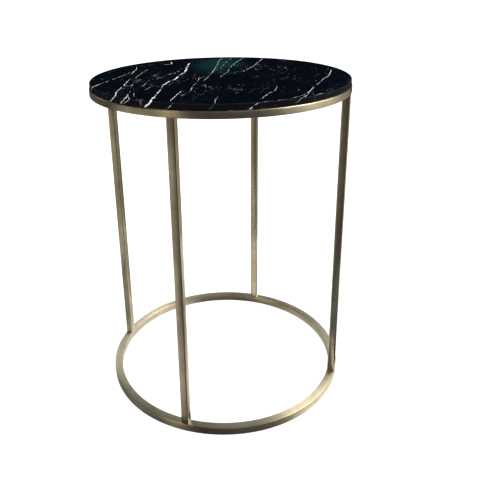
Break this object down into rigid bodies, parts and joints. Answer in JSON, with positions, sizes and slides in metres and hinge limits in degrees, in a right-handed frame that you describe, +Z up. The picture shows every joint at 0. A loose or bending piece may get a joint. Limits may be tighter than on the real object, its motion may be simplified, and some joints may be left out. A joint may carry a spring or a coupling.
{
  "type": "round side table",
  "caption": "Round side table: a thin polished stone disc lies on an open drum frame, with square legs standing between an upper ring and a floor ring.",
  "frame": {"origin": "centre of the circle that the glides stand on, at floor level", "axes": "+Z up along the table's axis; the four legs stand on +X, +Y, -X and -Y"},
  "size_m": [0.4, 0.4, 0.515],
  "materials": {
    "marble": "polished black marble with white veins",
    "brass": "brushed antique brass, lacquered",
    "steel": "zinc plated steel",
    "rubber": "matt black rubber",
    "silicone": "clear silicone, slightly cloudy"
  },
  "bodies": {
    "frame": {"upper_ring": "brass", "lower_ring": "brass", "right_leg": "brass", "right_leg_top_plug": "steel", "right_leg_foot_plug": "steel", "right_top_screw": "steel", "right_foot_screw": "steel", "back_leg": "brass", "back_leg_top_plug": "steel", "back_leg_foot_plug": "steel", "back_top_screw": "steel", "back_foot_screw": "steel", "left_leg": "brass", "left_leg_top_plug": "steel", "left_leg_foot_plug": "steel", "left_top_screw": "steel", "left_foot_screw": "steel", "front_leg": "brass", "front_leg_top_plug": "steel", "front_leg_foot_plug": "steel", "front_top_screw": "steel", "front_foot_screw": "steel", "slab_bumper_1": "silicone", "slab_bumper_2": "silicone", "slab_bumper_3": "silicone", "slab_bumper_4": "silicone", "slab_bumper_5": "silicone", "slab_bumper_6": "silicone", "slab_bumper_7": "silicone", "slab_bumper_8": "silicone", "floor_glide_1": "rubber", "floor_glide_2": "rubber", "floor_glide_3": "rubber", "floor_glide_4": "rubber"},
    "top": {"marble_top": "marble", "centring_stop_1": "rubber", "centring_stop_2": "rubber", "centring_stop_3": "rubber", "centring_stop_4": "rubber"}
  },
  "joints": [
    {"name": "top_lift", "type": "slide", "parent": "frame", "child": "top", "axis": [0, 0, 1], "range_m": [0, 0.1]}
  ]
}
